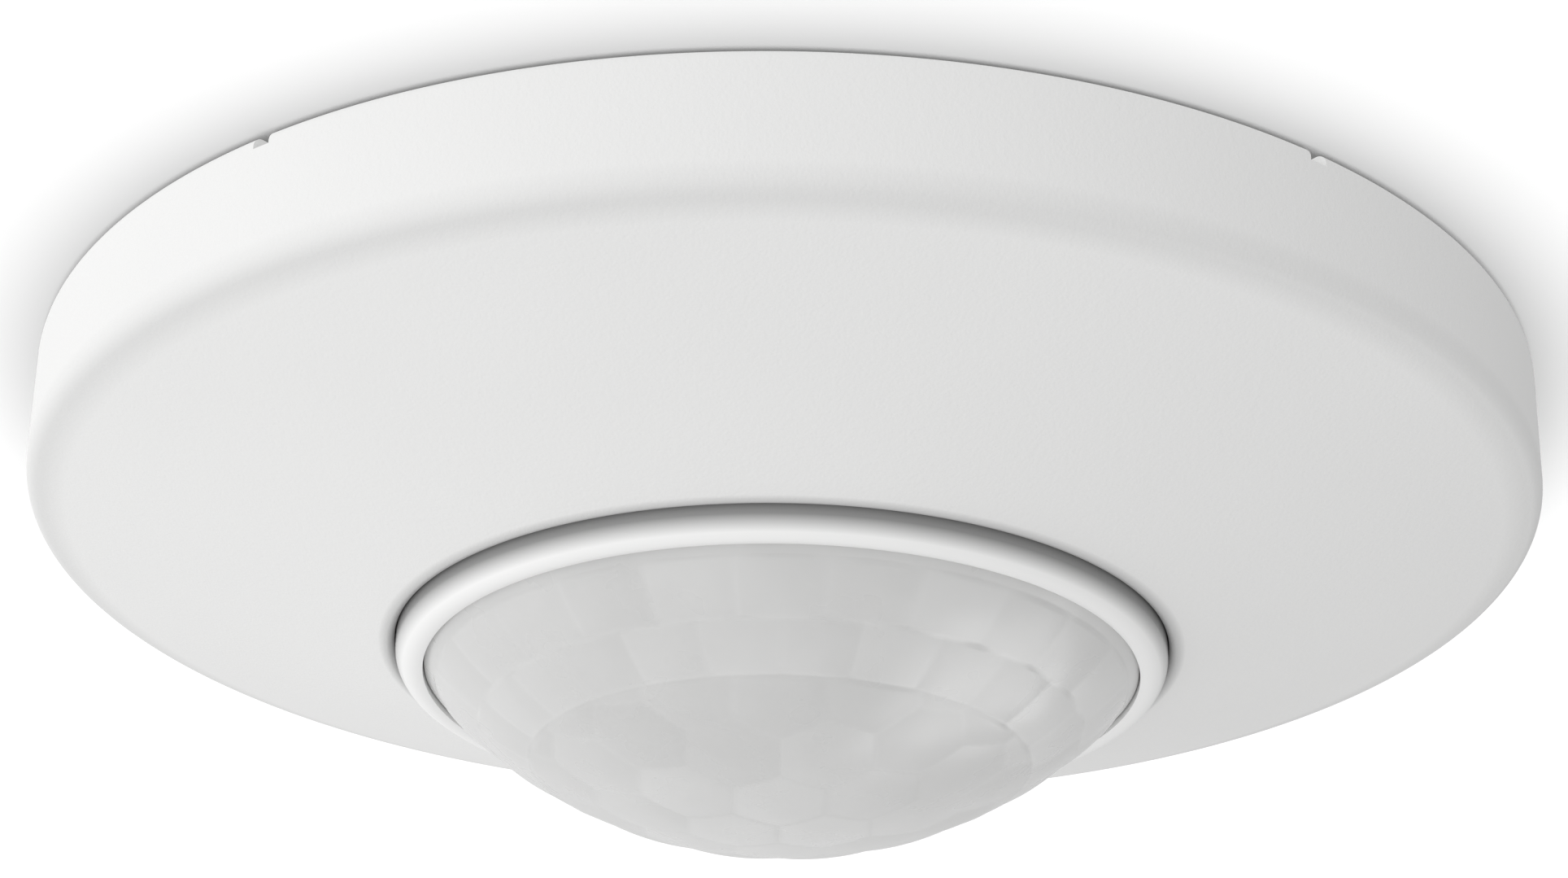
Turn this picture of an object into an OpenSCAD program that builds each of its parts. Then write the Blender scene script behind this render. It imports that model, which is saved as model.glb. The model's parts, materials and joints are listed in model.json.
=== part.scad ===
// Ceiling motion sensor for a 360 degree field of view, flush wired into a round ceiling box.
// The ceiling is the plane z = 0. The load unit stands above it, inside the box, and the
// sensor head, the lens and the cover hang below it. All sizes are in millimetres.

/* [Cover] */
// Outer diameter of the cover
cover_d = 128; // [122:1:134]
// Depth of the rim below the ceiling, down to its sharp corner
rim_h = 11; // [10:0.1:12]
// Depth of the sloping face at its central opening
opening_h = 22; // [21.4:0.1:22.4]
// Diameter of the central opening
opening_d = 65.2; // [65:0.1:66.4]
// Wall thickness of the cover
cover_t = 1.8; // [1.4:0.1:2.2]
// Radius of the rounded edge between rim and face
edge_r = 2; // [1.5:0.1:3]
// Radius of the rounded edge next to the ceiling
top_edge_r = 1; // [0.4:0.1:1.2]

/* [Lens] */
// Depth of the dome's lowest point below the ceiling
dome_h = 37; // [35:0.5:40]
// Outer spherical radius of the dome
dome_r = 40; // [38:0.5:44]
// Diameter of the dome where it leaves the ring
lens_d = 60.1; // [59.6:0.1:60.2]
// Wall thickness of the lens
lens_t = 1.2; // [0.8:0.1:1.6]
// Section radius of the bead on the lens ring
bead_r = 1.8; // [1.5:0.05:1.9]

/* [Head] */
// Outer diameter of the sensor head
head_d = 100; // [99:0.5:101]
// Depth of the head's back plate below the ceiling
head_top = 4.5; // [4.2:0.1:5]
// Wall thickness of the head's shells
head_t = 1.6; // [1.2:0.1:1.8]

/* [Load unit] */
// Distance between opposite box screws
box_spacing = 60; // [60:1:60]
// Outer diameter of the load unit's housing
load_d = 49; // [48:0.5:49]
// Height of the load unit's housing above the ceiling
load_h = 16; // [15:0.5:20]
// Height of the terminal block above that housing
terminal_h = 11; // [10:0.5:12]
// Thickness of the steel support ring
ring_t = 1.2; // [1:0.1:1.5]

/* [Hidden] */
$fn = 96;
ARC_STEPS = 10;
eps = 0.01;

// Cover and lens
cover_r = cover_d / 2;
opening_r = opening_d / 2;
slope = atan((opening_h - rim_h) / (cover_r - opening_r));
lip_r = 0.55;                      // rounding of the opening's edge
dome_z = dome_r - dome_h;          // height of the dome's centre
lens_r = lens_d / 2;
lens_gap = 0.1;                    // between the dome's foot and the bead
ring_gap = 0.25;                   // between the lens ring and the opening
ring_r = opening_r - ring_gap;
bead_z = -22.2;                    // height of the bead's centre
flange_z = bead_z + 0.4;           // face of the ring's lip that holds the lens
flange_t = 1;
nose_z = flange_z + flange_t;      // end of the head's nose, under the lens flange
notch = [4, 1.6, 1.2];             // release notches in the rim
notch_angles = [51.5, 128.5, 231.5, 308.5];
collar_t = 1.4;
collar_gap = 0.3;
collar_top = -5.2;
finger_slot = 1.2;                 // slots that split the collar into spring fingers
fingers = 8;
ribs = 8;
rib_t = 1.2;

// Head
head_r = head_d / 2;
back_z = -head_top;                // upper face of the back plate
shell_z = back_z - 1.5;            // joint line of back and front shell
plate_z = -12;                     // lower face of the front plate
plate_in_z = plate_z + head_t;
nose_r = ring_r - 1;
nose_t = 1.4;
board_t = 1.6;
board_z = -7.4;                    // upper face of the sensor board
board_low = board_z - board_t;
board_r = 43.4;
boss_r = 2.6;
boss_at = 46.3;
boss_angles = [30, 150, 210, 330];
post_angles = [0, 45, 135, 180, 225, 315];

// Controls on the head's front plate
control_at = 39;                   // distance of the dials from the axis
dial_angles = [244, 270, 296];
dial_r = 3.2;
dial_body = 8.4;
spindle_r = 1.5;
spindle_gap = 0.05;
dial_z = -13.2;
body_low = board_low - 1.3;        // lower face of the dial and button bodies
dip_at = 40.5;
dip_size = [11.6, 6.4];
dip_z = -12.4;
dip_pitch = 2.54;
dip_travel = 1.6;
lever = [1.1, 1.4];
lever_z = -13;
lever_top = -11.3;
button_angle = 62;
button_r = 1.75;
button_z = -13;
button_size = 6.2;

// Sensor optics
holder_low = -16;
holder_base = 24;
holder_end = 10;
can_r = 4.1;
can_h = 3.6;
can_foot_r = 4.6;
can_foot_h = 0.6;
baffle_r = 32.5;
baffle_hole_r = 16.5;
baffle_t = 0.8;

// Load unit
load_r = load_d / 2;
load_t = 1.6;
support_r = 46.6;
support_hole_r = 25;
slot_w = 3.8;
slot_l = 6.2;
surface_pcd = 76;
surface_hole_r = 2.3;
surface_angles = [22.5, 112.5, 202.5, 292.5];
tab = [ring_t, 9, 8.5];            // thickness, width and depth of the guide tabs
tab_angles = [60, 180, 300];
tab_gap = 0.4;
lid_low = -3;
lug_angles = [45, 135, 225, 315];
lug_at = 29.5;
lug_w = 8;
screw_r = 1.5;
board2_z = 3;                      // lower face of the power board
board2_r = 22.6;
load_screw_at = 20;
plug_y = 10;
plug_size = [21, 5];
pins = 8;
pin_pitch = 2.54;
pin_w = 0.64;
pin_top = 1.6;
socket_low = -3.4;

// Terminal block
block = [34, 14];
poles = 4;
pole_pitch = 8;
block_top = load_h + terminal_h;
wire_w = 3.2;
wire_y = -3.4;
release_w = 3.2;
release_gap = 0.1;
release_y = 3.2;
release_stroke = 1.2;
release_proud = 1.6;
cavity_top = load_h + 5;

function arc(c, r, a, b) =
    [for (i = [0:ARC_STEPS]) let (t = a + (b - a) * i / ARC_STEPS) c + r * [cos(t), sin(t)]];
// Height of the face's outer surface at a distance from the axis
function face_z(r) = -rim_h - (cover_r - r) * tan(slope);
function pole_x(i) = (i - (poles + 1) / 2) * pole_pitch;

module at(angle, distance) rotate(angle) translate([distance, 0, 0]) children();
module each_at(angles, distance) for (a = angles) at(a, distance) children();
module block_at(size, z0, z1) translate([-size[0] / 2, -size[1] / 2, z0]) cube([size[0], size[1], z1 - z0]);
module rod(r, z0, z1) translate([0, 0, z0]) cylinder(r = r, h = z1 - z0);
module tube(r_out, r_in, z0, z1) difference() {
    rod(r_out, z0, z1);
    rod(r_in, z0 - 1, z1 + 1);
}

// A pan head screw whose head hangs below z = 0 and whose shank points up
module screw(shank_r, shank_l, head_r, head_h) difference() {
    union() {
        rod(shank_r, -eps, shank_l);
        rod(head_r, -head_h, 0);
    }
    for (a = [0, 90]) rotate(a) block_at([head_r * 1.2, 0.6], -head_h - 1, -head_h * 0.4);
}

// ---- Cover ----

module cover_section() {
    fillet = [cover_r - edge_r, -rim_h + edge_r * (1 - sin(slope)) / cos(slope)];
    lip = [opening_r + lip_r, -opening_h + lip_r * (1 + sin(slope)) / cos(slope)];
    polygon(concat(
        [[cover_r - cover_t, 0]],
        arc([cover_r - top_edge_r, -top_edge_r], top_edge_r, 90, 0),
        arc(fillet, edge_r, 0, slope - 90),
        arc(lip, lip_r, slope - 90, -180),
        [[opening_r, face_z(opening_r) + cover_t / cos(slope)],
         [cover_r - cover_t, -rim_h + cover_t * (1 - sin(slope)) / cos(slope)]]
    ));
}

// Spring fingers that grip the head's side wall
module cover_collar() {
    inner = head_r + collar_gap;
    outer = inner + collar_t;
    middle = cover_t / 2 / cos(slope);
    difference() {
        rotate_extrude() polygon([
            [inner, collar_top], [outer, collar_top],
            [outer, face_z(outer) + middle], [inner, face_z(inner) + middle]
        ]);
        for (i = [0:fingers - 1]) rotate(i * 360 / fingers) translate([0, -finger_slot / 2, collar_top - 5])
            cube([outer + 1, finger_slot, 6]);
    }
}

module cover_rib() {
    inner = head_r + collar_gap + collar_t / 2;
    outer = cover_r - cover_t / 2;
    middle = cover_t / 2 / cos(slope);
    translate([0, rib_t / 2, 0]) rotate([90, 0, 0]) linear_extrude(rib_t) polygon([
        [inner, collar_top - 2], [outer, -3], [outer, face_z(outer) + middle], [inner, face_z(inner) + middle]
    ]);
}

module cover() color([0.93, 0.93, 0.92]) difference() {
    union() {
        rotate_extrude() cover_section();
        cover_collar();
        for (i = [0:ribs - 1]) rotate((i + 0.5) * 360 / ribs) cover_rib();
    }
    each_at(notch_angles, cover_r)
        translate([-notch[0] / 2, -notch[1] / 2, -notch[2]]) cube([notch[0], notch[1], notch[2] + 1]);
}

// ---- Lens and ring ----

module lens() color([0.8, 0.8, 0.79]) difference() {
    union() {
        intersection() {
            translate([0, 0, dome_z]) sphere(r = dome_r);
            rod(lens_r, -dome_h - 1, nose_z);
        }
        rod(nose_r - lens_gap, flange_z, nose_z);
    }
    intersection() {
        translate([0, 0, dome_z]) sphere(r = dome_r - lens_t);
        rod(lens_r - lens_t, -dome_h, nose_z + 1);
    }
}

module lens_ring() color([0.93, 0.93, 0.92]) rotate_extrude() difference() {
    union() {
        translate([ring_r - bead_r, bead_z]) circle(r = bead_r);
        translate([nose_r, bead_z]) square([ring_r - nose_r, plate_z - 0.2 - bead_z]);
    }
    translate([0, flange_z]) square([nose_r, 20]);
    translate([0, -dome_h]) square([lens_r + lens_gap, dome_h]);
}

// ---- Sensor head ----

module head_back() color([0.9, 0.9, 0.89]) difference() {
    rod(head_r, shell_z, back_z);
    translate([0, plug_y, 0]) block_at([plug_size[0] + 2, plug_size[1] + 2], shell_z - 1, back_z + 1);
    each_at(tab_angles, support_r - tab[0] / 2)
        block_at([tab[0] + 2 * tab_gap, tab[1] + 2 * tab_gap], shell_z - 1, back_z + 1);
    each_at(boss_angles, boss_at) rod(1.3, shell_z - 1, back_z + 1);
}

module head_front() color([0.9, 0.9, 0.89]) difference() {
    union() {
        tube(head_r, head_r - head_t, plate_z, shell_z);
        tube(head_r - head_t / 2, nose_r - nose_t, plate_z, plate_in_z);
        tube(nose_r, nose_r - nose_t, nose_z, plate_in_z);
        intersection() {
            each_at(boss_angles, boss_at) rod(boss_r, plate_in_z - eps, shell_z);
            rod(head_r - head_t / 2, plate_z, shell_z);
        }
        each_at(post_angles, control_at - 1) rod(1.6, plate_in_z - eps, board_low);
    }
    each_at(boss_angles, boss_at) rod(1.1, plate_in_z + 0.4, shell_z + 1);
    each_at(dial_angles, control_at) rod(dial_r + 0.25, plate_z - 1, plate_in_z + 1);
    at(90, dip_at) rotate(-90) block_at(dip_size + [0.6, 0.6], plate_z - 1, plate_in_z + 1);
    at(button_angle, control_at) rod(button_r + 0.25, plate_z - 1, plate_in_z + 1);
}

module head_screws() color([0.7, 0.7, 0.72])
    each_at(boss_angles, boss_at) translate([0, 0, back_z]) mirror([0, 0, 1]) screw(1.1, 4.8, 2.1, 0.9);

module sensor_board() color([0.1, 0.4, 0.22]) difference() {
    rod(board_r, board_low, board_z);
    for (x = [-18, 18]) translate([x, -14, 0]) rod(1.6, board_low - 1, board_z + 1);
}

module pin_row() for (i = [0:pins - 1]) translate([(i - (pins - 1) / 2) * pin_pitch, plug_y, 0]) children();

module header_strip() color([0.12, 0.12, 0.13]) difference() {
    translate([0, plug_y, 0]) block_at([pins * pin_pitch + 0.4, 2.6], board_z, board_z + 2.5);
    pin_row() block_at([pin_w, pin_w], board_z - 1, board_z + 4);
}

module header_pins() color([0.85, 0.7, 0.35]) pin_row() block_at([pin_w, pin_w], board_z, pin_top);

module microcontroller() color([0.08, 0.08, 0.09]) {
    translate([-14, -6, 0]) block_at([9, 9], board_z + 0.1, board_z + 1.1);
    translate([14, -8, 0]) block_at([5, 4], board_z + 0.1, board_z + 1.2);
    for (x = [-14, 14], y = [-8, -6]) translate([x, y, 0]) block_at([2, 1], board_z, board_z + 0.3);
}

module light_baffle() color([0.85, 0.85, 0.84])
    tube(baffle_r, baffle_hole_r, plate_in_z, plate_in_z + baffle_t);

module sensor_holder() color([0.75, 0.75, 0.74]) hull() {
    block_at([holder_base, holder_base], board_low - eps, board_low);
    block_at([holder_end, holder_end], holder_low, holder_low + eps);
}

// Puts children on each sloping side of the holder, standing out along its normal
module on_holder() {
    middle = (holder_base + holder_end) / 4;
    tilt = atan2(board_low - holder_low, (holder_base - holder_end) / 2);
    for (a = [0:90:270]) at(a, middle) translate([0, 0, (board_low + holder_low) / 2])
        rotate([0, 180 - tilt, 0]) translate([0, 0, eps]) children();
}

module infrared_sensors() color([0.72, 0.72, 0.74]) on_holder() difference() {
    union() {
        rod(can_foot_r, 0, can_foot_h);
        rod(can_r, 0, can_foot_h + can_h);
    }
    block_at([4.6, 3.6], can_foot_h + can_h - 0.4, can_foot_h + can_h + 1);
}

module infrared_filters() color([0.2, 0.18, 0.2]) on_holder()
    block_at([4.6, 3.6], can_foot_h + can_h - 0.4, can_foot_h + can_h - 0.1);

module small_dome(r, h) {
    rod(r, holder_low - h + r, holder_low);
    translate([0, 0, holder_low - h + r]) sphere(r = r);
}

module light_sensor() color([0.2, 0.2, 0.25]) translate([-2.6, 0, 0]) small_dome(1.6, 3.4);
module status_light() color([0.85, 0.25, 0.2]) translate([2.6, 0, 0]) small_dome(1.5, 4);

// ---- Controls ----

module dial_bodies() color([0.15, 0.3, 0.6]) each_at(dial_angles, control_at) difference() {
    block_at([dial_body, dial_body], body_low, board_low);
    rod(spindle_r + spindle_gap, body_low - 1, board_low - 0.3);
}

module dial(angle) color([0.95, 0.95, 0.95]) at(angle, control_at) difference() {
    union() {
        rod(spindle_r, body_low - 0.2, board_low - 0.4);
        rod(dial_r, dial_z, body_low - 0.1);
    }
    block_at([0.9, dial_r * 1.4], dial_z - 1, dial_z + 1);
    translate([0, dial_r, 0]) block_at([0.8, 1.2], dial_z - 1, dial_z + 0.5);
}

module time_dial() dial(dial_angles[0]);
module light_dial() dial(dial_angles[1]);
module range_dial() dial(dial_angles[2]);

module dip_body() color([0.75, 0.12, 0.1]) translate([0, dip_at, 0]) difference() {
    block_at(dip_size, dip_z, board_low);
    for (i = [1:4]) translate([(i - 2.5) * dip_pitch, 0, 0])
        block_at([lever[0] + 0.2, lever[1] + dip_travel + 0.2], dip_z - 1, lever_top + 0.1);
}

module dip_lever(i) color([0.95, 0.95, 0.95])
    translate([(i - 2.5) * dip_pitch, dip_at - dip_travel / 2, 0]) block_at(lever, lever_z, lever_top);

module button_body() color([0.15, 0.15, 0.16]) at(button_angle, control_at) difference() {
    block_at([button_size, button_size], body_low, board_low);
    rod(button_r + 0.1, body_low - 1, board_low - 0.5);
}

module learn_button() color([0.9, 0.9, 0.9]) at(button_angle, control_at) rod(button_r, button_z, board_low - 1);

// ---- Load unit ----

module slot_hole() for (s = [-1, 1]) translate([box_spacing / 2 * s, 0, 0]) {
    for (e = [-1, 1]) translate([e * (slot_l - slot_w) / 2, 0, 0]) rod(slot_w / 2, -ring_t - 1, 1);
    block_at([slot_l - slot_w, slot_w], -ring_t - 1, 1);
}

module support_ring() color([0.72, 0.73, 0.75]) difference() {
    union() {
        rod(support_r, -ring_t, 0);
        intersection() {
            each_at(tab_angles, support_r - tab[0] / 2) block_at([tab[0], tab[1]], -tab[2], 0);
            rod(support_r, -tab[2], 0);
        }
    }
    rod(support_hole_r, -ring_t - 1, 1);
    for (a = [0, 90]) rotate(a) slot_hole();
    each_at(surface_angles, surface_pcd / 2) rod(surface_hole_r, -ring_t - 1, 1);
    each_at(lug_angles, lug_at) rod(screw_r + 0.02, -ring_t - 1, 1);
}

module load_lid() color([0.82, 0.82, 0.81]) difference() {
    union() {
        rod(load_r, lid_low, -ring_t);
        each_at(lug_angles, lug_at - 4) block_at([lug_w + 7, lug_w], lid_low, -ring_t);
    }
    each_at(lug_angles, lug_at) rod(screw_r + 0.1, lid_low - 1, 0);
    translate([0, plug_y, 0]) block_at(plug_size + [0.6, 0.6], lid_low - 1, 0);
    for (s = [-1, 1]) translate([0, s * load_screw_at, 0]) rod(1.4, lid_low - 1, 0);
    for (x = [-12:4:12]) translate([x, -6, 0]) block_at([1.4, 9], lid_low - 1, 0);
}

module lid_screws() color([0.7, 0.7, 0.72]) each_at(lug_angles, lug_at)
    translate([0, 0, lid_low]) screw(screw_r, -lid_low - 0.2, 2.7, 1.2);

module housing_screws() color([0.7, 0.7, 0.72]) for (s = [-1, 1])
    translate([0, s * load_screw_at, lid_low]) screw(1.2, 12, 2.2, 1.1);

module load_housing() color([0.82, 0.82, 0.81]) difference() {
    union() {
        tube(load_r, load_r - load_t, -ring_t, load_h);
        rod(load_r - load_t / 2, load_h - load_t, load_h);
        for (s = [-1, 1]) translate([0, s * load_screw_at, 0]) rod(2.4, board2_z + board_t + 0.2, load_h - load_t / 2);
    }
    for (s = [-1, 1]) translate([0, s * load_screw_at, 0]) rod(1.22, 0, 9.6);
    for (i = [1:poles]) translate([pole_x(i), 0, 0]) block_at([1.6, 1.6], load_h - load_t - 1, load_h + 1);
    for (x = [-9, 9], y = [-18, -15, -12, 12, 15, 18]) translate([x, y, 0])
        block_at([7, 1.2], load_h - load_t - 1, load_h + 1);
}

module power_board() color([0.1, 0.4, 0.22]) difference() {
    rod(board2_r, board2_z, board2_z + board_t);
    for (s = [-1, 1]) translate([0, s * load_screw_at, 0]) rod(2.8, board2_z - 1, board2_z + board_t + 1);
}

board2_top = board2_z + board_t;
module relay() color([0.15, 0.32, 0.62]) translate([-7.5, -7.5, 0])
    block_at([19, 10], board2_top, board2_top + 8.6);

module transformer_core() color([0.15, 0.15, 0.16]) translate([9.5, -8, 0]) difference() {
    block_at([12, 11.4], board2_top, board2_top + 8.4);
    for (s = [-1, 1]) translate([0, s * 3.5, 0]) block_at([8, 3.2], board2_top - 1, board2_top + 10);
}

module transformer_coil() color([0.85, 0.65, 0.2]) translate([9.5, -8, 0]) difference() {
    block_at([7.6, 9.8], board2_top + 1, board2_top + 7.4);
    block_at([9, 3.9], board2_top, board2_top + 9);
}

module capacitors() color([0.2, 0.2, 0.22]) for (p = [[12.5, 8.5], [3.5, 11]])
    translate([p[0], p[1], 0]) rod(4, board2_top, board2_top + 8.8);

module varistor() color([0.1, 0.35, 0.65]) translate([-6, 8.4, board2_top + 4.4]) rotate([90, 0, 0])
    cylinder(r = 4, h = 2.4);

module fuse() color([0.55, 0.4, 0.25]) translate([-14, 9, 0]) rod(2.2, board2_top, board2_top + 7.5);

module socket_strip() color([0.12, 0.12, 0.13]) difference() {
    translate([0, plug_y, 0]) block_at(plug_size, socket_low, board2_z);
    pin_row() block_at([pin_w + 0.3, pin_w + 0.3], socket_low - 1, pin_top + 0.6);
}

// ---- Terminals ----

module terminal_block() color([0.35, 0.36, 0.38]) difference() {
    block_at(block, load_h, block_top);
    for (i = [1:poles]) translate([pole_x(i), 0, 0]) {
        block_at([5.2, 10.6], load_h - 1, cavity_top);
        translate([0, wire_y, 0]) block_at([wire_w, wire_w], load_h, block_top + 1);
        translate([0, release_y, 0])
            block_at([release_w + 2 * release_gap, release_w + 2 * release_gap], load_h, block_top + 1);
    }
}

module terminal_bars() color([0.8, 0.5, 0.3]) for (i = [1:poles]) translate([pole_x(i), 0, 0]) {
    block_at([4.4, 10], load_h, load_h + 0.8);
    translate([0, -4.7, 0]) block_at([4.4, 0.6], load_h, cavity_top - 0.3);
    block_at([1, 1], board2_top, load_h + 0.1);
}

module terminal_springs() color([0.75, 0.76, 0.78]) for (i = [1:poles])
    translate([pole_x(i) - 1.5, 4.6, load_h + 0.8]) {
        cube([3, 0.4, 3]);
        translate([0, -3, 0]) cube([3, 3.1, 0.4]);
        translate([0, 0.2, 2.4]) rotate([-8, 0, 0]) translate([0, -6.4, 0]) cube([3, 6.4, 0.4]);
    }

module release_button(i) color([0.9, 0.45, 0.12]) translate([pole_x(i), release_y, 0]) difference() {
    block_at([release_w, release_w], block_top - 5.4, block_top + release_proud);
    block_at([0.8, release_w + 1], block_top + release_proud - 0.7, block_top + release_proud + 1);
}

support_ring();
load_housing();
load_lid();
lid_screws();
housing_screws();
power_board();
relay();
transformer_core();
transformer_coil();
capacitors();
varistor();
fuse();
socket_strip();
terminal_block();
terminal_bars();
terminal_springs();
for (i = [1:4]) release_button(i);
head_back();
head_front();
head_screws();
sensor_board();
header_strip();
header_pins();
microcontroller();
light_baffle();
sensor_holder();
infrared_sensors();
infrared_filters();
light_sensor();
status_light();
dip_body();
button_body();
dial_bodies();
time_dial();
light_dial();
range_dial();
for (i = [1:4]) dip_lever(i);
learn_button();
lens();
lens_ring();
cover();
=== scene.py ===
"""Looks, stage, lights and camera of the ceiling motion sensor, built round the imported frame.

Lengths are metres in the frame's axes: the ceiling is z = 0, and the room is below it.
"""
import json
import math

import bmesh
import bpy
from mathutils import Matrix, Vector


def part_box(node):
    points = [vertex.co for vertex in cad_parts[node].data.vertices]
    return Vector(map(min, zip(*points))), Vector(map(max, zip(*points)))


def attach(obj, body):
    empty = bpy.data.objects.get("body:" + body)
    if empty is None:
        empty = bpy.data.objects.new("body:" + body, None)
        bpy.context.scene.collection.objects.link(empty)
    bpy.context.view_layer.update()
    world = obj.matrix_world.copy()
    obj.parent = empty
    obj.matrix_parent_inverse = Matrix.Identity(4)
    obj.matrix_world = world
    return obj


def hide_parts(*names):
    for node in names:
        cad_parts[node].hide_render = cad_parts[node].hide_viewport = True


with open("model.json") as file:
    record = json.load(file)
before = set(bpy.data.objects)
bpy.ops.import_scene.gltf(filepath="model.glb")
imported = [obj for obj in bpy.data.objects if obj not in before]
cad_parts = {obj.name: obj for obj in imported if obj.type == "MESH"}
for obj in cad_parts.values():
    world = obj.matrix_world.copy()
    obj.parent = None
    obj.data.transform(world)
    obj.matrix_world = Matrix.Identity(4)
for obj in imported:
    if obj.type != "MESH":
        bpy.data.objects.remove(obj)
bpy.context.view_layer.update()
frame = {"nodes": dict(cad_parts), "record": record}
NODES = frame["nodes"]
BODIES = {node: body
          for body, nodes in frame["record"]["behaviour"]["bodies"].items() for node in nodes}
SLOTS = {p["node"]: p["material_slot"] for p in frame["record"]["subparts"]}
MM = 0.001
FULL_TURN = 2 * math.pi


# ---- Sizes of the cover, the ring and the dome ----

COVER_WALL = 1.8 * MM
RIM_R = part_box("cover")[1].x
RIM_H = 11.15 * MM
OPENING_R = 32.6 * MM
OPENING_H = 22 * MM
EDGE_R = 1.5 * MM
TOP_EDGE_R = 1 * MM
LIP_R = 0.55 * MM
SLOPE = math.atan((OPENING_H - RIM_H) / (RIM_R - OPENING_R))
WALL_DROP = COVER_WALL / math.cos(SLOPE)
CORNER_R = 1 * MM
INNER_LIP_R = 0.2 * MM
INNER_TOP_R = 0.15 * MM
NOTCH_ANGLES = (52.1, 127.9, 232.1, 307.9)
NOTCH_LENGTH = 3 * MM
NOTCH_HALF = 0.8 * MM
NOTCH_DEPTH = 1.2 * MM

# The collar of spring fingers inside the cover, and the ribs between it and the wall
COLLAR_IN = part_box("head_front")[1].x + 0.3 * MM
COLLAR_OUT = COLLAR_IN + 1.4 * MM
COLLAR_TOP = -5.2 * MM
COLLAR_EDGE_R = 0.3 * MM
FINGERS = 8
FINGER_GAP_HALF = 0.6 * MM
FINGER_GAP_DEPTH = 5 * MM
RIB_T = 1.2 * MM
RIB_TOP = -3 * MM
RIB_DIP = 2 * MM

RING_R = OPENING_R - 0.08 * MM
RING_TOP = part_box("lens_ring")[1].z
BEAD_R = 1.8 * MM
BEAD_AT = RING_R - BEAD_R
BEAD_Z = -22.2 * MM
LENS_GAP = 0.1 * MM
NOSE_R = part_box("lens")[1].x + LENS_GAP

DOME_R = 40 * MM
DOME_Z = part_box("lens")[0].z + DOME_R
LENS_R = 30.05 * MM
LENS_T = 1.2 * MM
FLANGE_Z = BEAD_Z + 0.4 * MM
FLANGE_T = 1 * MM

# Circles round the axis, as (radius, z), beside which painted shade makes the plastic greyer
GROOVE = (OPENING_R + 0.1 * MM, -OPENING_H + 0.4 * MM)
CREASE_IN = 1 * MM
CREASE = (RIM_R - CREASE_IN, -RIM_H - CREASE_IN * math.tan(SLOPE))


# ---- Mesh helpers ----

# Angles are in degrees. An edge is rounded off only if the edges beside it are at least ROOM
# times the width of the rounding.
SMOOTH_ANGLE = 32
LENS_SMOOTH_ANGLE = 40
SOFT_ANGLE = 35
SOFT_STEPS = 2
ROOM = 2.2
FLAT_ANGLE = 1
WELD = 0.001 * MM


def mesh_object(name, mesh):
    """A new object in the scene for a mesh."""
    obj = bpy.data.objects.new(name, mesh)
    bpy.context.scene.collection.objects.link(obj)
    return obj


def smooth(mesh, angle=SMOOTH_ANGLE):
    """Shades a mesh smooth but for edges sharper than some degrees."""
    mesh.shade_smooth()
    mesh.set_sharp_from_angle(angle=math.radians(angle))


def finish_piece(obj, node, material):
    """Makes obj stand for a CAD node: it joins the node's body, the node is hidden, and obj takes
    the given material.
    """
    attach(obj, BODIES[node])
    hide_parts(node)
    obj.data.materials.clear()
    obj.data.materials.append(material)
    return obj


def rounded(corners, steps=8):
    """A closed outline from (x, y, radius) corners, each turned into an arc of some steps."""
    points = []
    count = len(corners)
    for i, (x, y, radius) in enumerate(corners):
        here = Vector((x, y))
        before = Vector(corners[i - 1][:2]) - here
        after = Vector(corners[(i + 1) % count][:2]) - here
        if radius <= 0:
            points.append(here)
            continue
        before.normalize()
        after.normalize()
        half = before.angle(after) / 2
        reach = radius / math.tan(half)
        centre = here + (before + after).normalized() * (radius / math.sin(half))
        start = here + before * reach - centre
        end = here + after * reach - centre
        sweep = -start.angle_signed(end)
        points += [centre + Matrix.Rotation(sweep * k / steps, 2) @ start for k in range(steps + 1)]
    return points


def revolve(name, outline, segments):
    """A closed solid of revolution about Z from a closed outline of (radius, z) points."""
    mesh = bpy.data.meshes.new(name)
    verts = []
    for s in range(segments):
        a = FULL_TURN * s / segments
        verts += [(r * math.cos(a), r * math.sin(a), z) for r, z in outline]
    n = len(outline)
    faces = []
    for s in range(segments):
        t = (s + 1) % segments
        for k in range(n):
            m = (k + 1) % n
            faces.append((s * n + k, t * n + k, t * n + m, s * n + m))
    mesh.from_pydata(verts, [], faces)
    outward(mesh)
    return mesh_object(name, mesh)


def outward(mesh, angle=SMOOTH_ANGLE):
    """Turns a closed mesh's faces outwards and shades it smooth."""
    bm = bmesh.new()
    bm.from_mesh(mesh)
    bmesh.ops.recalc_face_normals(bm, faces=bm.faces)
    bm.to_mesh(mesh)
    bm.free()
    smooth(mesh, angle)


def baked(obj):
    """Applies obj's modifiers to its mesh."""
    graph = bpy.context.evaluated_depsgraph_get()
    mesh = bpy.data.meshes.new_from_object(obj.evaluated_get(graph))
    obj.modifiers.clear()
    obj.data = mesh
    return obj


def roundable(edge, width):
    """Whether an edge sticks out, and has room beside it to be rounded off by width."""
    least = math.radians(SOFT_ANGLE)
    if len(edge.link_faces) != 2 or edge.calc_face_angle_signed(0) < least:
        return False
    for vert in edge.verts:
        for other in vert.link_edges:
            flat = abs(other.calc_face_angle_signed(0)) < least
            if flat and other.calc_length() < ROOM * width:
                return False
    return True


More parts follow.
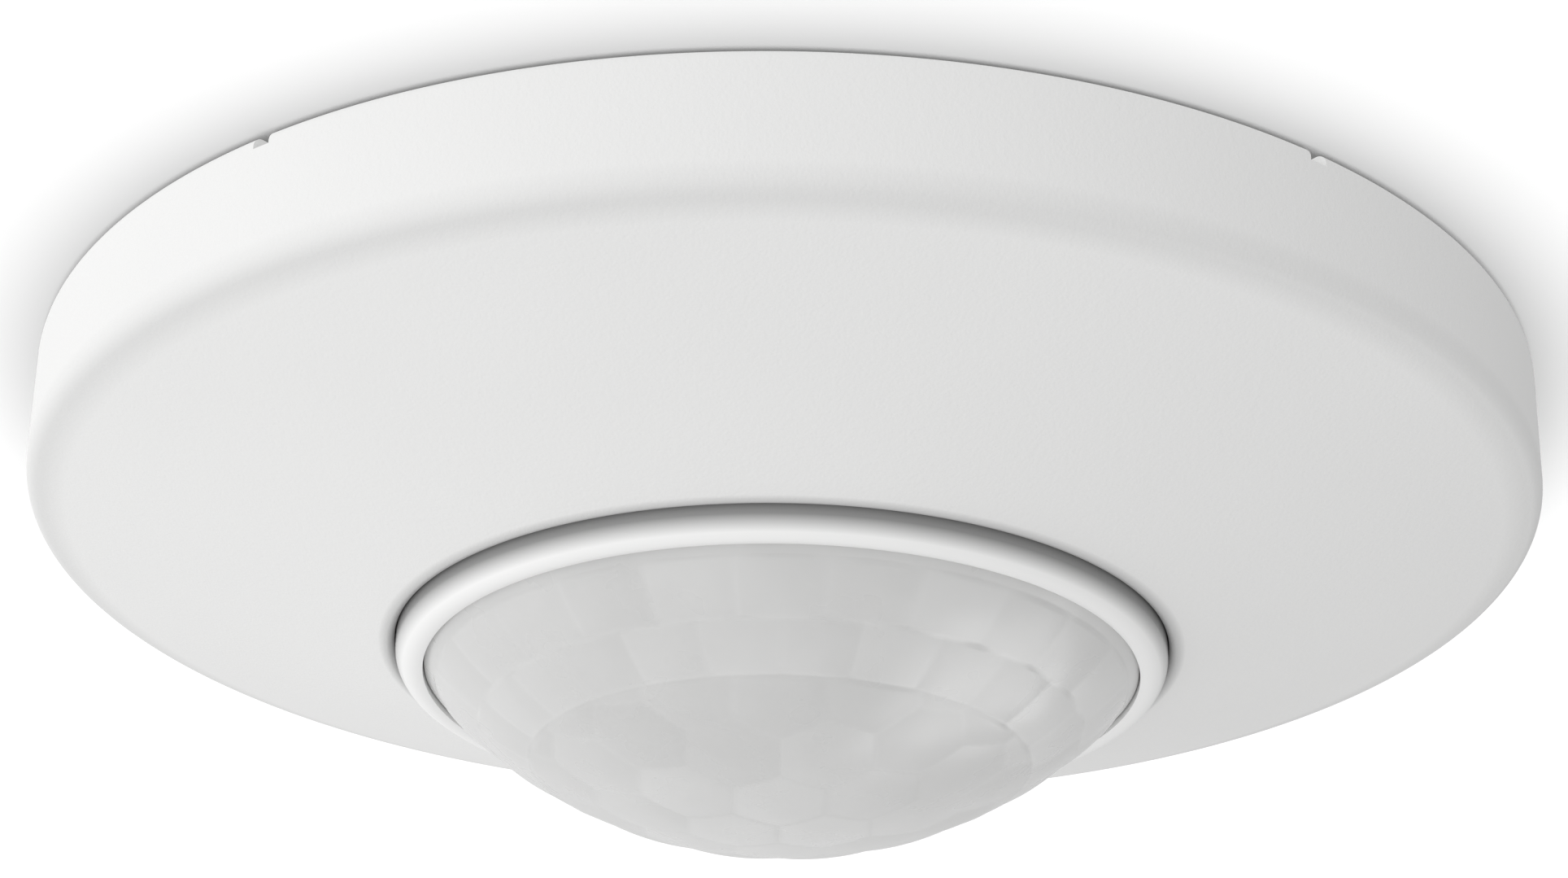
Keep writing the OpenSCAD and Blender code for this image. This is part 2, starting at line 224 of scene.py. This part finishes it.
def softened(node, width):
    """A copy of a CAD node with its outer edges rounded off, as on a moulded or folded part."""
    mesh = NODES[node].data.copy()
    mesh.name = node + "_soft"
    mesh.materials.clear()
    bm = bmesh.new()
    bm.from_mesh(mesh)
    bmesh.ops.remove_doubles(bm, verts=bm.verts, dist=WELD)
    bmesh.ops.dissolve_limit(bm, angle_limit=math.radians(FLAT_ANGLE), verts=bm.verts,
                             edges=bm.edges)
    edges = [e for e in bm.edges if roundable(e, width)]
    bmesh.ops.bevel(bm, geom=edges, offset=width, offset_type="OFFSET", segments=SOFT_STEPS,
                    profile=0.5, affect="EDGES", miter_outer="SHARP")
    bmesh.ops.triangulate(bm, faces=[f for f in bm.faces if len(f.verts) > 4])
    bm.to_mesh(mesh)
    bm.free()
    smooth(mesh, SOFT_ANGLE)
    return mesh_object(node + "_soft", mesh)


def block(low, high, turn):
    """A box between two corners, turned about Z by some degrees."""
    bm = bmesh.new()
    bmesh.ops.create_cube(bm, size=1)
    low, high = Vector(low), Vector(high)
    spin = Matrix.Rotation(math.radians(turn), 4, "Z")
    size = Matrix.Diagonal((*(high - low), 1))
    bm.transform(spin @ Matrix.Translation((low + high) / 2) @ size)
    return bm


def plate(outline, thickness, turn):
    """A plate on edge: an (x, z) outline, thick about the XZ plane, turned about Z by degrees."""
    bm = bmesh.new()
    half = thickness / 2
    sides = [[bm.verts.new((x, y, z)) for x, z in outline] for y in (-half, half)]
    count = len(outline)
    bm.faces.new(sides[0])
    bm.faces.new(sides[1][::-1])
    for i in range(count):
        j = (i + 1) % count
        bm.faces.new((sides[0][j], sides[0][i], sides[1][i], sides[1][j]))
    bm.transform(Matrix.Rotation(math.radians(turn), 4, "Z"))
    bmesh.ops.recalc_face_normals(bm, faces=bm.faces)
    return bm


def merged(name, parts):
    """One object from several bmeshes that don't touch."""
    whole = bmesh.new()
    for part in parts:
        mesh = bpy.data.meshes.new(name)
        part.to_mesh(mesh)
        part.free()
        whole.from_mesh(mesh)
        bpy.data.meshes.remove(mesh)
    mesh = bpy.data.meshes.new(name)
    whole.to_mesh(mesh)
    whole.free()
    return mesh_object(name, mesh)


def combine(obj, other, operation):
    """Joins another object's mesh to obj's, or cuts it out, and removes the other."""
    mod = obj.modifiers.new("combine", "BOOLEAN")
    mod.operation = operation
    mod.solver = "EXACT"
    mod.object = other
    baked(obj)
    bpy.data.objects.remove(other)
    return obj


# ---- Materials ----

class Surface:
    """A node material round one Principled shader, with rest-pose coordinates in metres."""

    def __init__(self, name, color, roughness, metallic=0.0, **inputs):
        self.mat = bpy.data.materials.new(name)
        self.mat.use_nodes = True
        self.tree = self.mat.node_tree
        self.shader = self.tree.nodes["Principled BSDF"]
        self.color = color
        self.roughness = roughness
        self.shader.inputs["Base Color"].default_value = (*color, 1)
        self.shader.inputs["Roughness"].default_value = roughness
        self.shader.inputs["Metallic"].default_value = metallic
        for key, value in inputs.items():
            self.shader.inputs[key.replace("_", " ")].default_value = value
        self.place = self.node("ShaderNodeTexCoord").outputs["Object"]
        self.normal = None
        self.tone = None

    def node(self, kind, **settings):
        n = self.tree.nodes.new(kind)
        for key, value in settings.items():
            setattr(n, key, value)
        return n

    def link(self, a, b):
        self.tree.links.new(a, b)

    def noise(self, size, detail=2.0):
        """Noise whose features measure about size metres."""
        mapping = self.node("ShaderNodeMapping")
        mapping.inputs["Scale"].default_value = [1 / size] * 3
        self.link(self.place, mapping.inputs["Vector"])
        n = self.node("ShaderNodeTexNoise")
        n.inputs["Scale"].default_value = 1
        n.inputs["Detail"].default_value = detail
        self.link(mapping.outputs[0], n.inputs["Vector"])
        return n.outputs["Fac"]

    def ramp(self, value, low, high, start=0.35, end=0.65):
        """value mapped from start..end to low..high, both numbers or both colours."""
        if isinstance(low, (int, float)):
            n = self.node("ShaderNodeMapRange")
            ends = {"From Min": start, "From Max": end, "To Min": low, "To Max": high}
            for key, v in ends.items():
                n.inputs[key].default_value = v
            self.link(value, n.inputs["Value"])
            return n.outputs["Result"]
        n = self.node("ShaderNodeValToRGB")
        n.color_ramp.elements[0].position = start
        n.color_ramp.elements[1].position = end
        n.color_ramp.elements[0].color = (*low, 1)
        n.color_ramp.elements[1].color = (*high, 1)
        self.link(value, n.inputs["Fac"])
        return n.outputs["Color"]

    def tint(self, amount, size=20 * MM):
        """Clouds of slightly lighter and darker colour."""
        low = [c * (1 - amount) for c in self.color]
        high = [min(1, c * (1 + amount)) for c in self.color]
        self.tone = self.ramp(self.noise(size, 3.0), low, high)
        self.link(self.tone, self.shader.inputs["Base Color"])
        return self

    def spread(self, radius, z):
        """Distance from a circle round the axis."""
        flat = self.node("ShaderNodeVectorMath", operation="MULTIPLY")
        flat.inputs[1].default_value = (1, 1, 0)
        self.link(self.place, flat.inputs[0])
        length = self.node("ShaderNodeVectorMath", operation="LENGTH")
        self.link(flat.outputs[0], length.inputs[0])
        split = self.node("ShaderNodeSeparateXYZ")
        self.link(self.place, split.inputs[0])
        section = self.node("ShaderNodeCombineXYZ")
        self.link(length.outputs["Value"], section.inputs["X"])
        self.link(split.outputs["Z"], section.inputs["Y"])
        gap = self.node("ShaderNodeVectorMath", operation="DISTANCE")
        gap.inputs[1].default_value = (radius, z, 0)
        self.link(section.outputs[0], gap.inputs[0])
        return gap.outputs["Value"]

    def seam(self, radius, z, near, far, shade):
        """Painted shade beside a circle round the axis: shade of the full colour at near, all at
        far.
        """
        level = self.ramp(self.spread(radius, z), shade, 1.0, near, far)
        mix = self.node("ShaderNodeVectorMath", operation="SCALE")
        self.link(self.tone, mix.inputs[0])
        self.link(level, mix.inputs["Scale"])
        self.tone = mix.outputs[0]
        self.link(self.tone, self.shader.inputs["Base Color"])
        return self

    def polish(self, amount, size=8 * MM):
        """Patches of slightly smoother and rougher finish."""
        low, high = self.roughness - amount, self.roughness + amount
        self.link(self.ramp(self.noise(size, 3.0), low, high), self.shader.inputs["Roughness"])
        return self

    def bump(self, height, depth, strength=1.0):
        """Adds a height to the surface, over any bump that is already there."""
        n = self.node("ShaderNodeBump")
        n.inputs["Distance"].default_value = depth
        n.inputs["Strength"].default_value = strength
        self.link(height, n.inputs["Height"])
        if self.normal:
            self.link(self.normal, n.inputs["Normal"])
        self.normal = n.outputs["Normal"]
        self.link(self.normal, self.shader.inputs["Normal"])
        return self

    def grain(self, size, depth):
        """Fine bumps, size metres across and depth metres high."""
        return self.bump(self.noise(size), depth)


def plastic(name, color, roughness=0.45):
    """Moulded plastic with fine grain and faint sink marks."""
    s = Surface(name, color, roughness).tint(0.015).polish(0.04)
    return s.grain(0.2 * MM, 0.006 * MM).grain(3 * MM, 0.01 * MM).mat


def cover_material():
    """Satin white, with painted shade along its rounded edge and beside the groove at its centre.
    """
    s = Surface("cover_white", (0.87, 0.87, 0.865), 0.5)
    s.tint(0.006, 30 * MM).polish(0.04, 10 * MM)
    # Painted shade: a darker band along the crease of the rounded edge, and darker beside the
    # groove at the centre.
    s.seam(*CREASE, 0.5 * MM, 2.5 * MM, 0.9)
    s.seam(*GROOVE, 0.4 * MM, 1.3 * MM, 0.6)
    return s.grain(0.25 * MM, 0.03 * MM).grain(0.6 * MM, 0.03 * MM).mat


def ring_material():
    """Smoother white than the cover, with painted shade inside the groove."""
    s = Surface("ring_white", (0.95, 0.95, 0.945), 0.34, Coat_Weight=0.4)
    s.tint(0.006).polish(0.04, 10 * MM)
    # Painted shade inside the groove beside the cover's lip.
    s.seam(*GROOVE, 0.8 * MM, 2.2 * MM, 0.3)
    return s.grain(0.13 * MM, 0.006 * MM).mat


def lens_material():
    """Milky polyethylene with clouds, lighter or darker from one lens cell to the next, and the
    painted light and shade that the cells' tones carry.
    """
    s = Surface("lens_milky", (0.62, 0.62, 0.615), 0.3, Coat_Weight=0.6, Coat_Roughness=0.25,
                Subsurface_Weight=0.25, Subsurface_Scale=2 * MM, Subsurface_Radius=(1, 1, 1))
    # The tone attribute carries painted light and shade from the lens cells.
    tone = s.node("ShaderNodeAttribute", attribute_name="tone").outputs["Fac"]
    cloudy = s.node("ShaderNodeMath", operation="ADD")
    s.link(tone, cloudy.inputs[0])
    s.link(s.ramp(s.noise(9 * MM), -0.35, 0.35, 0.2, 0.8), cloudy.inputs[1])
    color = s.ramp(cloudy.outputs[0], (0.59, 0.59, 0.585), (0.67, 0.67, 0.665), 0.0, 1.0)
    s.link(color, s.shader.inputs["Base Color"])
    return s.polish(0.05, 6 * MM).grain(0.9 * MM, 0.006 * MM).mat


def metal(name, color, roughness):
    """Bare metal, a little uneven in colour and polish."""
    s = Surface(name, color, roughness, 1.0)
    return s.tint(0.06, 6 * MM).polish(0.08, 4 * MM).grain(0.3 * MM, 0.004 * MM).mat


def board_material():
    """Solder mask with copper traces showing through and bare pads."""
    s = Surface("board_green", (0.02, 0.16, 0.06), 0.35)
    cells = s.node("ShaderNodeTexVoronoi", distance="MANHATTAN")
    cells.inputs["Scale"].default_value = 320
    s.link(s.place, cells.inputs["Vector"])
    distance = cells.outputs["Distance"]
    traces = s.ramp(distance, (0.012, 0.11, 0.04), (0.03, 0.25, 0.1), 0.45, 0.5)
    s.link(traces, s.shader.inputs["Base Color"])
    return s.bump(distance, 0.03 * MM, 0.4).mat


def glossy(name, color, roughness):
    """A smooth surface with a thin clear coat."""
    s = Surface(name, color, roughness, Coat_Weight=0.3)
    return s.tint(0.05, 4 * MM).polish(0.04, 3 * MM).mat


# The material of each finish slot
MATERIALS = {
    "cover_plastic": cover_material(),
    "lens_plastic": lens_material(),
    "shell_plastic": plastic("shell_white", (0.82, 0.82, 0.81)),
    "grey_plastic": plastic("housing_grey", (0.5, 0.5, 0.49)),
    "dark_plastic": plastic("plastic_black", (0.025, 0.025, 0.028), 0.4),
    "terminal_plastic": plastic("terminal_grey", (0.1, 0.105, 0.115), 0.42),
    "orange_plastic": plastic("release_orange", (0.8, 0.24, 0.03), 0.4),
    "blue_plastic": plastic("part_blue", (0.03, 0.12, 0.4), 0.35),
    "red_plastic": glossy("part_red", (0.55, 0.03, 0.02), 0.25),
    "zinc_steel": metal("zinc_steel", (0.62, 0.63, 0.66), 0.34),
    "can_metal": metal("nickel_can", (0.72, 0.72, 0.73), 0.2),
    "brass_metal": metal("brass", (0.82, 0.6, 0.26), 0.24),
    "board": board_material(),
    "copper_coil": glossy("coil_tape", (0.7, 0.42, 0.05), 0.3),
    "dark_window": glossy("filter_dark", (0.02, 0.017, 0.02), 0.08),
}
RING_WHITE = ring_material()


# ---- Cover, ring and lens ----

ROUND_SEGMENTS = 360
COLLAR_SEGMENTS = 240
BEAD_STEPS = 36


def face_z(r):
    """Height of the cover's sloping outer face at a distance from the axis."""
    return -RIM_H - (RIM_R - r) * math.tan(SLOPE)


def make_collar():
    """The ring of spring fingers that grips the head, with the ribs that join it to the wall."""
    middle = WALL_DROP / 2
    collar = revolve("collar", rounded([
        (COLLAR_IN, COLLAR_TOP, COLLAR_EDGE_R),
        (COLLAR_OUT, COLLAR_TOP, COLLAR_EDGE_R),
        (COLLAR_OUT, face_z(COLLAR_OUT) + middle, 0),
        (COLLAR_IN, face_z(COLLAR_IN) + middle, 0),
    ]), COLLAR_SEGMENTS)
    low = (COLLAR_IN - MM, -FINGER_GAP_HALF, COLLAR_TOP - FINGER_GAP_DEPTH)
    high = (COLLAR_OUT + MM, FINGER_GAP_HALF, 0)
    slots = merged("slots", [block(low, high, i * 360 / FINGERS) for i in range(FINGERS)])
    combine(collar, slots, "DIFFERENCE")
    inner, outer = (COLLAR_IN + COLLAR_OUT) / 2, RIM_R - COVER_WALL / 2
    outline = [(inner, COLLAR_TOP - RIB_DIP), (outer, RIB_TOP),
               (outer, face_z(outer) + middle), (inner, face_z(inner) + middle)]
    turns = [(i + 0.5) * 360 / FINGERS for i in range(FINGERS)]
    ribs = merged("ribs", [plate(outline, RIB_T, turn) for turn in turns])
    return combine(collar, ribs, "UNION")


def make_cover():
    """The cover's shell with its collar and ribs, and four notches in its top edge."""
    inner_corner = -RIM_H + COVER_WALL * (1 - math.sin(SLOPE)) / math.cos(SLOPE)
    shell = revolve("cover_shell", rounded([
        (RIM_R, 0, TOP_EDGE_R),
        (RIM_R, -RIM_H, EDGE_R),
        (OPENING_R, -OPENING_H, LIP_R),
        (OPENING_R, -OPENING_H + WALL_DROP, INNER_LIP_R),
        (RIM_R - COVER_WALL, inner_corner, CORNER_R),
        (RIM_R - COVER_WALL, 0, INNER_TOP_R),
    ], 12), ROUND_SEGMENTS)
    combine(shell, make_collar(), "UNION")
    low = (RIM_R - NOTCH_LENGTH, -NOTCH_HALF, -NOTCH_DEPTH)
    high = (RIM_R + MM, NOTCH_HALF, MM)
    notches = merged("notches", [block(low, high, turn) for turn in NOTCH_ANGLES])
    combine(shell, notches, "DIFFERENCE")
    smooth(shell.data)
    return finish_piece(shell, "cover", MATERIALS["cover_plastic"])


def make_ring():
    """The lens ring: a round bead, and the seat that holds the lens."""
    inner = LENS_R + LENS_GAP
    low = -math.acos((inner - BEAD_AT) / BEAD_R)
    outline = []
    for k in range(BEAD_STEPS + 1):
        a = low * (1 - k / BEAD_STEPS)
        outline.append((BEAD_AT + BEAD_R * math.cos(a), BEAD_Z + BEAD_R * math.sin(a)))
    outline += [(RING_R, RING_TOP), (NOSE_R, RING_TOP), (NOSE_R, FLANGE_Z), (inner, FLANGE_Z)]
    ring = revolve("ring_bead", outline, ROUND_SEGMENTS)
    return finish_piece(ring, "lens_ring", RING_WHITE)


# The dome is moulded in lens cells: a honeycomb in the middle and two rows of petals round it.
# Places on the dome are measured along its surface from its lowest point.
CELL = 7.7 * MM
CELL_ROW = CELL * math.sqrt(3) / 2
CELL_SHIFT = 0.6 * MM
CELL_CORNER = CELL / math.sqrt(3)
HEX_ZONE = 22.2 * MM
PETAL_ROWS = 2
PETALS = 24
PETAL_END = 32.6 * MM
CELL_CROWN = 0.2 * MM
SEAM = 0.5 * MM
LENS_SEGMENTS = 480
LENS_RINGS = 150
INSIDE_RINGS = 24

# A cell's tone goes from 0 for the darkest to 1 for the lightest, and carries painted light and
# shade.
# The honeycomb is painted darker than the petals, as painted shade for the dark inside seen through
# the dome. It gets lighter towards the lowest point, as painted light, and there the seams between
# its cells are darker than the cells, as painted shade. Elsewhere the cells' edges get a painted
# highlight.
# The sine of a cell's number times CELL_VARIETY scatters the tones of neighbouring cells.
HEX_TONE = 0.1
HEX_SPREAD = 0.12
CROWN_ZONE = 17 * MM
CROWN_LIGHT = 0.9
CROWN_SHADE = 4
PETAL_TONE = 0.6
PETAL_SPREAD = 0.15
EDGE_START = 0.86
EDGE_LIGHT = 0.22
INSIDE_TONE = 0.5
CELL_VARIETY = 12.9898


def hex_cell(x, y):
    """The cell at a place: distance from its centre, nearness to its edge (1 on it), how far
    out its centre is, and a number that stands for it."""
    best = None
    base = math.floor((y - CELL_SHIFT) / CELL_ROW)
    for row in (base, base + 1):
        shift = 0.5 if row % 2 == 0 else 0.0
        column = round(x / CELL - shift)
        dx = x - (column + shift) * CELL
        dy = y - CELL_SHIFT - row * CELL_ROW
        distance = math.hypot(dx, dy)
        if best is None or distance < best[0]:
            lean = dy * math.sqrt(3) / 2
            edge = max(abs(dx), abs(dx / 2 + lean), abs(dx / 2 - lean)) / (CELL / 2)
            best = (distance, edge, math.hypot(x - dx, y - dy), 7 * row + 3 * column)
    return best


def cell_tone(middle, spread, cell, edge, light):
    """A cell's tone, off the middle by up to a spread, with light added along the cell's edge: a
    painted highlight, or painted shade where light is below zero.
    """
    blend = min(1, max(0, (edge - EDGE_START) / (1 - EDGE_START)))
    return middle + spread * math.sin(cell * CELL_VARIETY) + light * blend


def lens_cell(s, angle):
    """How far the dome stands proud at a place on it, and its tone there, with its painted light
    and shade.
    """
    if s < HEX_ZONE:
        distance, edge, out, cell = hex_cell(s * math.cos(angle), s * math.sin(angle))
        relief = CELL_CROWN * (1 - (distance / CELL_CORNER) ** 2) * min(1, (HEX_ZONE - s) / SEAM)
        # Painted light towards the lowest point; painted highlight along the cells' edges, turning
        # to painted shade in the seams near the lowest point.
        crown = max(0, 1 - out / CROWN_ZONE)
        middle = HEX_TONE + CROWN_LIGHT * crown
        light = EDGE_LIGHT * (1 - CROWN_SHADE * crown)
        return relief, cell_tone(middle, HEX_SPREAD, cell, edge, light)
    if s < PETAL_END:
        height = (PETAL_END - HEX_ZONE) / PETAL_ROWS
        row = min(PETAL_ROWS - 1, int((s - HEX_ZONE) / height))
        u = (s - HEX_ZONE) / height - row - 0.5
        turn = angle / FULL_TURN * PETALS + row / 2
        column = math.floor(turn)
        v = turn - column - 0.5
        cell = 40 + 11 * row + 5 * (column % PETALS)
        # Painted highlight along the petals' edges.
        tone = cell_tone(PETAL_TONE, PETAL_SPREAD, cell, 2 * max(abs(u), abs(v)), EDGE_LIGHT)
        return CELL_CROWN * (1 - 2 * (u * u + v * v)), tone
    return 0.0, PETAL_TONE


def round_points(r, z):
    """Points round the axis at a radius and a height."""
    angles = [FULL_TURN * k / LENS_SEGMENTS for k in range(LENS_SEGMENTS)]
    return [(r * math.cos(a), r * math.sin(a), z) for a in angles]


def make_lens():
    """The dome, with cells outside, smooth inside, and the flange that the ring holds."""
    verts, tones = [], []
    reach = DOME_R * math.asin(LENS_R / DOME_R)
    for ring in range(1, LENS_RINGS + 1):
        s = reach * ring / LENS_RINGS
        for k in range(LENS_SEGMENTS):
            angle = FULL_TURN * k / LENS_SEGMENTS
            relief, tone = lens_cell(s, angle)
            radius, tilt = DOME_R + relief, s / DOME_R
            r, z = radius * math.sin(tilt), DOME_Z - radius * math.cos(tilt)
            verts.append((r * math.cos(angle), r * math.sin(angle), z))
            tones.append(tone)
    flange_r, flange_top = NOSE_R - LENS_GAP, FLANGE_Z + FLANGE_T
    foot = [(LENS_R, FLANGE_Z), (flange_r, FLANGE_Z), (flange_r, flange_top),
            (LENS_R - LENS_T, flange_top)]
    inside_r = DOME_R - LENS_T
    inside_reach = math.asin((LENS_R - LENS_T) / inside_r)
    for ring in range(INSIDE_RINGS, 0, -1):
        tilt = inside_reach * ring / INSIDE_RINGS
        foot.append((inside_r * math.sin(tilt), DOME_Z - inside_r * math.cos(tilt)))
    for r, z in foot:
        verts += round_points(r, z)
    tones += [INSIDE_TONE] * (len(foot) * LENS_SEGMENTS)
    faces = []
    rows = LENS_RINGS + len(foot)
    for row in range(rows - 1):
        for k in range(LENS_SEGMENTS):
            m = (k + 1) % LENS_SEGMENTS
            low, high = row * LENS_SEGMENTS, (row + 1) * LENS_SEGMENTS
            faces.append((low + k, high + k, high + m, low + m))
    outer_pole, inner_pole = len(verts), len(verts) + 1
    relief, tone = lens_cell(0, 0)
    verts += [(0, 0, DOME_Z - DOME_R - relief), (0, 0, DOME_Z - inside_r)]
    tones += [tone, INSIDE_TONE]
    last = (rows - 1) * LENS_SEGMENTS
    for k in range(LENS_SEGMENTS):
        m = (k + 1) % LENS_SEGMENTS
        faces.append((k, m, outer_pole))
        faces.append((last + m, last + k, inner_pole))
    mesh = bpy.data.meshes.new("lens_dome")
    mesh.from_pydata(verts, [], faces)
    mesh.attributes.new("tone", "FLOAT", "POINT").data.foreach_set("value", tones)
    outward(mesh, LENS_SMOOTH_ANGLE)
    return finish_piece(mesh_object("lens_dome", mesh), "lens", MATERIALS["lens_plastic"])


# Nodes whose outer edges are rounded off, by the width of the rounding in millimetres
SOFT_EDGES = {
    0.3: ["support_ring", "load_housing", "load_lid", "terminal_block", "relay", "capacitors",
          "varistor", "fuse", "transformer_coil", "socket_strip", "head_back", "head_front",
          "light_baffle", *(f"release_button_{i}" for i in range(1, 5))],
    0.15: ["lid_screws", "housing_screws", "head_screws", "transformer_core", "header_strip",
           "infrared_sensors", "light_sensor", "status_light", "dip_body", "button_body",
           "dial_bodies", "time_dial", "light_dial", "range_dial", "learn_button",
           "terminal_springs"],
    0.1: [f"dip_lever_{i}" for i in range(1, 5)],
}

for name, obj in NODES.items():
    obj.data.materials.clear()
    obj.data.materials.append(MATERIALS[SLOTS[name]])

make_cover()
make_ring()
lens = make_lens()
for width, nodes in SOFT_EDGES.items():
    for node in nodes:
        finish_piece(softened(node, width * MM), node, MATERIALS[SLOTS[node]])


# ---- Stage, lights and camera ----

CEILING_SIZE = 3.0
CEILING_GAP = 0.05 * MM
CEILING_TONE = 0.3
CAM_DISTANCE = 315 * MM
CAM_ANGLE = math.radians(25.09)
CAM_ROLL = math.radians(0.927)
CAM_LENS = 83.04
AIM_RIGHT = -0.1 * MM
AIM_UP = -0.945 * MM
BACKDROP = 1.0


def make_camera():
    """A camera below the ceiling, looking up at the sensor from the -Y side."""
    forward = Vector((0, math.cos(CAM_ANGLE), math.sin(CAM_ANGLE)))
    up = Vector((0, -math.sin(CAM_ANGLE), math.cos(CAM_ANGLE)))
    place = -forward * CAM_DISTANCE
    aim = Vector((AIM_RIGHT, 0, 0)) + up * AIM_UP
    data = bpy.data.cameras.new("camera")
    data.lens = CAM_LENS
    data.clip_start = 0.01
    camera = bpy.data.objects.new("camera", data)
    bpy.context.scene.collection.objects.link(camera)
    camera.location = place
    turn = (aim - place).to_track_quat("-Z", "Y").to_matrix() @ Matrix.Rotation(CAM_ROLL, 3, "Z")
    camera.rotation_euler = turn.to_euler()
    bpy.context.scene.camera = camera


def make_ceiling():
    """A white ceiling that shows from the room and lets a view from above see the sensor's back."""
    mesh = bpy.data.meshes.new("ceiling")
    h, z = CEILING_SIZE / 2, CEILING_GAP
    mesh.from_pydata([(-h, -h, z), (-h, h, z), (h, h, z), (h, -h, z)], [], [(0, 1, 2, 3)])
    ceiling = mesh_object("ceiling", mesh)
    ceiling.visible_shadow = False
    ceiling.visible_diffuse = False
    ceiling.visible_glossy = False
    mat = bpy.data.materials.new("ceiling_white")
    mat.use_nodes = True
    tree = mat.node_tree
    shader = tree.nodes["Principled BSDF"]
    shader.inputs["Base Color"].default_value = (CEILING_TONE, CEILING_TONE, CEILING_TONE, 1)
    shader.inputs["Roughness"].default_value = 0.9
    shader.inputs["Specular IOR Level"].default_value = 0.0
    side = tree.nodes.new("ShaderNodeNewGeometry")
    clear = tree.nodes.new("ShaderNodeBsdfTransparent")
    mix = tree.nodes.new("ShaderNodeMixShader")
    tree.links.new(side.outputs["Backfacing"], mix.inputs["Fac"])
    tree.links.new(shader.outputs[0], mix.inputs[1])
    tree.links.new(clear.outputs[0], mix.inputs[2])
    tree.links.new(mix.outputs[0], tree.nodes["Material Output"].inputs["Surface"])
    mesh.materials.append(mat)
    return ceiling


def area_light(name, place, aim, size, power, only):
    """A soft square light that the camera doesn't see, and that lights one object only."""
    data = bpy.data.lights.new(name, "AREA")
    data.shape = "SQUARE"
    data.size = size
    data.energy = power
    light = bpy.data.objects.new(name, data)
    bpy.context.scene.collection.objects.link(light)
    light.location = place
    light.rotation_euler = (Vector(aim) - Vector(place)).to_track_quat("-Z", "Y").to_euler()
    light.visible_camera = False
    group = bpy.data.collections.new(name + "_receivers")
    group.objects.link(only)
    light.light_linking.receiver_collection = group


def make_world(level, lean):
    """A light tent, brighter or darker by lean towards each axis, and a plain white backdrop."""
    world = bpy.data.worlds.new("studio")
    world.use_nodes = True
    bpy.context.scene.world = world
    tree = world.node_tree
    place = tree.nodes.new("ShaderNodeTexCoord")
    slope = tree.nodes.new("ShaderNodeVectorMath")
    slope.operation = "DOT_PRODUCT"
    slope.inputs[1].default_value = lean
    tree.links.new(place.outputs["Generated"], slope.inputs[0])
    total = tree.nodes.new("ShaderNodeMath")
    total.inputs[1].default_value = level
    tree.links.new(slope.outputs["Value"], total.inputs[0])
    shade = tree.nodes["Background"]
    shade.inputs["Color"].default_value = (1, 1, 1, 1)
    tree.links.new(total.outputs["Value"], shade.inputs["Strength"])
    seen = tree.nodes.new("ShaderNodeBackground")
    seen.inputs["Color"].default_value = (BACKDROP, BACKDROP, BACKDROP, 1)
    path = tree.nodes.new("ShaderNodeLightPath")
    mix = tree.nodes.new("ShaderNodeMixShader")
    tree.links.new(path.outputs["Is Camera Ray"], mix.inputs["Fac"])
    tree.links.new(shade.outputs[0], mix.inputs[1])
    tree.links.new(seen.outputs[0], mix.inputs[2])
    tree.links.new(mix.outputs[0], tree.nodes["World Output"].inputs["Surface"])


ceiling = make_ceiling()
make_camera()
make_world(0.83, (-0.36, -0.1, -0.02))
area_light("ceiling_wash", (-0.02, 0.1, -0.7), (0, 0, 0), 2.3, 66, only=ceiling)
area_light("lens_fill", (0.5, 0.3, -0.6), (0, 0, -0.03), 0.5, 1, only=lens)
bpy.context.scene.view_settings.view_transform = "Standard"
